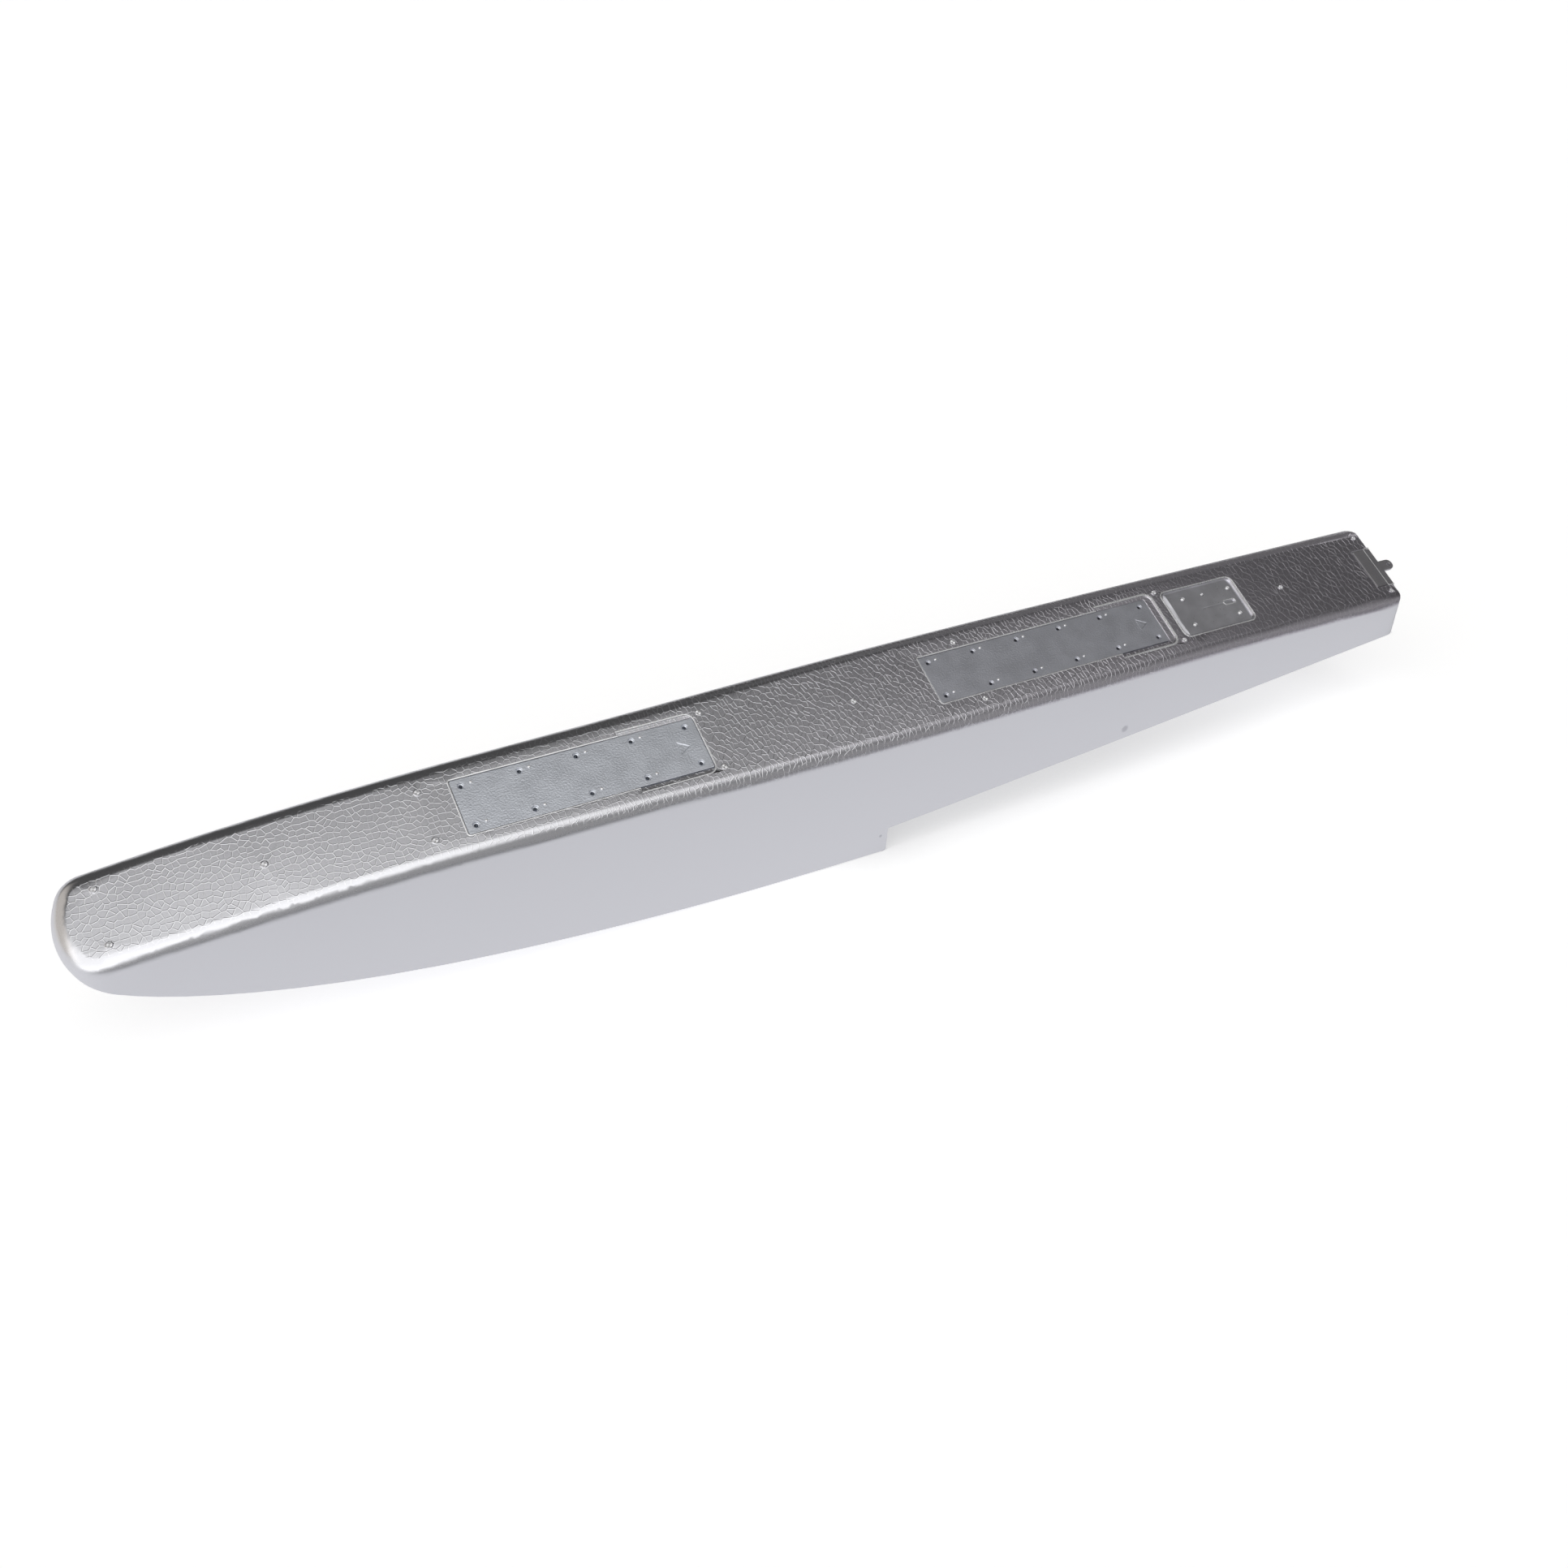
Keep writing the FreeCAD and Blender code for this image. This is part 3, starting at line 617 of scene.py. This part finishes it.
# ridges that the film leaves where it is tucked into a pocket, as long flat rings
filmLips = {
    "frontPlateLip": {"from": -0.0868, "to": 0.0883, "half": 0.0208, "corner": 0.0015, "keepTo": 0.032,
                      "width": 0.0012},
    "frontLedgeLip": {"from": 0.0200, "to": 0.0883, "half": 0.0242, "corner": 0.0060, "keepFrom": 0.032,
                      "width": 0.0013},
    "rearPlateLip": {"from": 0.2732, "to": 0.4883, "half": 0.0208, "corner": 0.0015, "keepTo": 0.440,
                     "width": 0.0012},
    "rearLedgeLip": {"from": 0.4200, "to": 0.4946, "half": 0.0242, "corner": 0.0060, "keepFrom": 0.440,
                     "width": 0.0017},
    "trayLip": {"from": -0.0370, "to": 0.0370, "half": 0.0219, "corner": 0.0054, "about": 0.5416,
                "width": 0.0012},
    "slotLip": {"from": 0.0184, "to": 0.0294, "half": 0.0017, "corner": 0.0012, "about": 0.5416,
                "width": 0.0011, "level": -0.0016, "slot": "tray_plastic"},
    "bracketLip": {"from": 0.0, "to": 0.0300, "half": 0.0193, "corner": 0.0010, "about": 0.7311,
                   "aside": -0.0031, "keepTo": 0.0060, "width": 0.0012},
}
lipForm = {"rise": 0.00022, "sunk": 0.00009, "waver": 0.00006, "cuts": 44, "cornerSegments": 8,
           "longEdge": 0.010}


def selectEdges(piece, wanted):
    # picks edges in edit mode by a test on their two ends
    bpy.ops.mesh.select_all(action="DESELECT")
    bpy.ops.object.mode_set(mode="OBJECT")
    for edge in piece.data.edges:
        ends = [piece.data.vertices[number].co for number in edge.vertices]
        edge.select = wanted(ends[0], ends[1])
    bpy.ops.object.mode_set(mode="EDIT")


def makeLip(name, lip, form, material):
    clearSelection()
    width, rise = lip["width"], form["rise"]
    middle = (lip["from"] + lip["to"]) / 2.0
    size = (lip["to"] - lip["from"] + 2.0 * width, 2.0 * (lip["half"] + width), 1.0)
    bpy.ops.mesh.primitive_plane_add(size=1.0, location=(middle, 0.0, -form["sunk"]))
    piece = bpy.context.object
    piece.name = name
    piece.scale = size
    bpy.ops.object.transform_apply(location=True, rotation=True, scale=True)
    bpy.ops.object.mode_set(mode="EDIT")
    bpy.context.tool_settings.mesh_select_mode = (False, True, False)
    bpy.ops.mesh.select_all(action="SELECT")
    bpy.ops.mesh.bevel(offset=lip["corner"] + width, segments=form["cornerSegments"], affect="VERTICES")
    bpy.ops.mesh.select_all(action="SELECT")
    bpy.ops.mesh.inset(thickness=width / 2.0, depth=rise)
    bpy.ops.mesh.inset(thickness=width / 2.0, depth=-rise)
    bpy.ops.mesh.delete(type="FACE")
    selectEdges(piece, lambda first, last: (first - last).length > form["longEdge"])
    bpy.ops.mesh.subdivide(number_cuts=form["cuts"])
    for key, clearOuter in (("keepTo", True), ("keepFrom", False)):
        if key in lip:
            bpy.ops.mesh.select_all(action="SELECT")
            bpy.ops.mesh.bisect(plane_co=(lip[key], 0.0, 0.0), plane_no=(1.0, 0.0, 0.0),
                                clear_outer=clearOuter, clear_inner=not clearOuter)
    bpy.ops.mesh.select_all(action="SELECT")
    bpy.ops.transform.vertex_random(offset=form["waver"], seed=len(name))
    bpy.ops.object.mode_set(mode="OBJECT")
    if "about" in lip:
        base = Matrix.Translation((0.0, 0.0, lip.get("level", 0.0)))
        piece.data.transform(deckPlace(lip["about"], lip.get("aside", 0.0)) @ base)
    else:
        piece.data.transform(Matrix.Translation((0.0, 0.0, deckLine["level"])))
    bpy.ops.object.shade_smooth()
    piece.data.materials.append(material)
    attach(piece, "root")


def makeLips(lips, form):
    material = silverPlastic("silverFilmEdge", filmEdgePaint)
    for name, lip in lips.items():
        makeLip(name, lip, form, material)
    print("film lips: round the pockets")


# vent marks of the mould: a low disc cut into wedges by its slots
ventMark = {
    "radius": 0.0020,
    "wedges": 8,
    "rise": 0.00030,
    "slot": 0.00022,
    "dome": 0.25,                        # shares of the rise
    "wedgeRise": 0.5,
    "skirt": 2.2,
    "smooth": 20.0,
    "places": [(-0.2095, 0.0), (0.208, 0.0), (0.6206, 0.0), (-0.305, 0.0192), (-0.305, -0.0192),
               (-0.108, 0.0182), (-0.108, -0.0182), (0.094, 0.0228), (0.094, -0.0228), (0.308, 0.0263),
               (0.308, -0.0263), (0.5003, 0.024), (0.5003, -0.024), (0.7285, 0.0291), (0.7285, -0.0291)],
}


def makeVents(setup):
    clearSelection()
    bpy.ops.mesh.primitive_circle_add(vertices=setup["wedges"] * 2, radius=setup["radius"], fill_type="TRIFAN")
    model = bpy.context.object
    bpy.ops.object.mode_set(mode="EDIT")
    bpy.ops.mesh.select_all(action="SELECT")
    bpy.ops.transform.translate(value=(0.0, 0.0, setup["rise"]))
    bpy.ops.mesh.select_all(action="DESELECT")
    bpy.ops.object.mode_set(mode="OBJECT")
    hub = min(model.data.vertices, key=lambda vertex: vertex.co.xy.length)
    hub.co.z += setup["rise"] * setup["dome"]
    bpy.ops.object.mode_set(mode="EDIT")
    bpy.context.tool_settings.mesh_select_mode = (False, False, True)
    bpy.ops.mesh.select_all(action="SELECT")
    bpy.ops.mesh.inset(thickness=setup["slot"], depth=setup["rise"] * setup["wedgeRise"], use_individual=True)
    bpy.context.tool_settings.mesh_select_mode = (False, True, False)
    bpy.ops.mesh.select_all(action="DESELECT")
    bpy.ops.mesh.select_non_manifold()
    drop = -setup["skirt"] * setup["rise"]
    bpy.ops.mesh.extrude_region_move(TRANSFORM_OT_translate={"value": (0.0, 0.0, drop)})
    bpy.ops.object.mode_set(mode="OBJECT")
    bpy.ops.object.shade_smooth_by_angle(angle=math.radians(setup["smooth"]))
    model.data.materials.append(silverPlastic("silverVent", ventPaint))
    for number, (x, y) in enumerate(setup["places"]):
        vent = bpy.data.objects.new("ventMark.%02d" % (number + 1), model.data.copy())
        bpy.context.scene.collection.objects.link(vent)
        vent.data.transform(deckPlace(x, y))
        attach(vent, "root")
    bpy.data.objects.remove(model)
    print("vent marks: %d on the deck" % len(setup["places"]))


# low domes: one in each round mark of the tray, and a pip aft of each screw hole but the last pair
trayMark = {
    "radius": 0.0016, "rise": 0.0007, "skirt": 0.0008, "slot": "tray_plastic", "about": 0.5416,
    "places": [(-0.02145, -0.0125, -0.0018, 1.0), (-0.01785, 0.0125, -0.0018, 1.0),
               (0.02625, -0.0125, -0.0018, 1.0), (0.02985, 0.0125, -0.0018, 1.0),
               (0.0024, 0.0125, -0.0018, 0.6)],
}
pipAft, pipAside = 0.0072, 0.0011
platePip = {
    "radius": 0.0010, "rise": 0.0005, "skirt": 0.0005, "slot": "plate_plastic",
    "places": [(firstHole + column * strutPlates["pitch"] + pipAft,
                side * strutPlates["rowSpacing"] + pipAside, 0.0, 1.0)
               for _, firstHole, columns in strutPlates["pieces"].values()
               for column in range(columns - 1) for side in (-0.5, 0.5)],
}
domeForm = {"segments": 24, "rings": 16, "smooth": 50.0}


def makeDomes(name, setup, form, material):
    clearSelection()
    bpy.ops.mesh.primitive_uv_sphere_add(segments=form["segments"], ring_count=form["rings"],
                                         radius=setup["radius"])
    model = bpy.context.object
    bpy.ops.object.mode_set(mode="EDIT")
    bpy.ops.mesh.select_all(action="SELECT")
    bpy.ops.mesh.bisect(plane_co=(0.0, 0.0, 0.0), plane_no=(0.0, 0.0, 1.0), clear_inner=True)
    bpy.ops.mesh.select_all(action="SELECT")
    bpy.ops.transform.resize(value=(1.0, 1.0, setup["rise"] / setup["radius"]))
    bpy.ops.mesh.select_all(action="DESELECT")
    bpy.context.tool_settings.mesh_select_mode = (False, True, False)
    bpy.ops.mesh.select_non_manifold()
    bpy.ops.mesh.extrude_region_move(TRANSFORM_OT_translate={"value": (0.0, 0.0, -setup["skirt"])})
    bpy.ops.object.mode_set(mode="OBJECT")
    bpy.ops.object.shade_smooth_by_angle(angle=math.radians(form["smooth"]))
    model.data.materials.append(material)
    ground = deckPlace(setup["about"]) if "about" in setup else Matrix.Identity(4)
    for number, (x, y, z, share) in enumerate(setup["places"]):
        dome = bpy.data.objects.new("%s.%02d" % (name, number + 1), model.data.copy())
        bpy.context.scene.collection.objects.link(dome)
        dome.data.transform(ground @ Matrix.Translation((x, y, z)) @ Matrix.Scale(share, 4))
        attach(dome, "root")
    bpy.data.objects.remove(model)
    print("domes: %d made as %s" % (len(setup["places"]), name))


makeHull(hullSkin)
makePlates(strutPlates)
makeTray(trayForm)
makeBracket(bracketForm)
makeLips(filmLips, lipForm)
makeVents(ventMark)
# the domes are real; their near white finish is a painted glint
domeGlintMaterial = silverPlastic("silverMarkGlint", markGlintPaint)
makeDomes("trayMark", trayMark, domeForm, domeGlintMaterial)
makeDomes("platePip", platePip, domeForm, domeGlintMaterial)
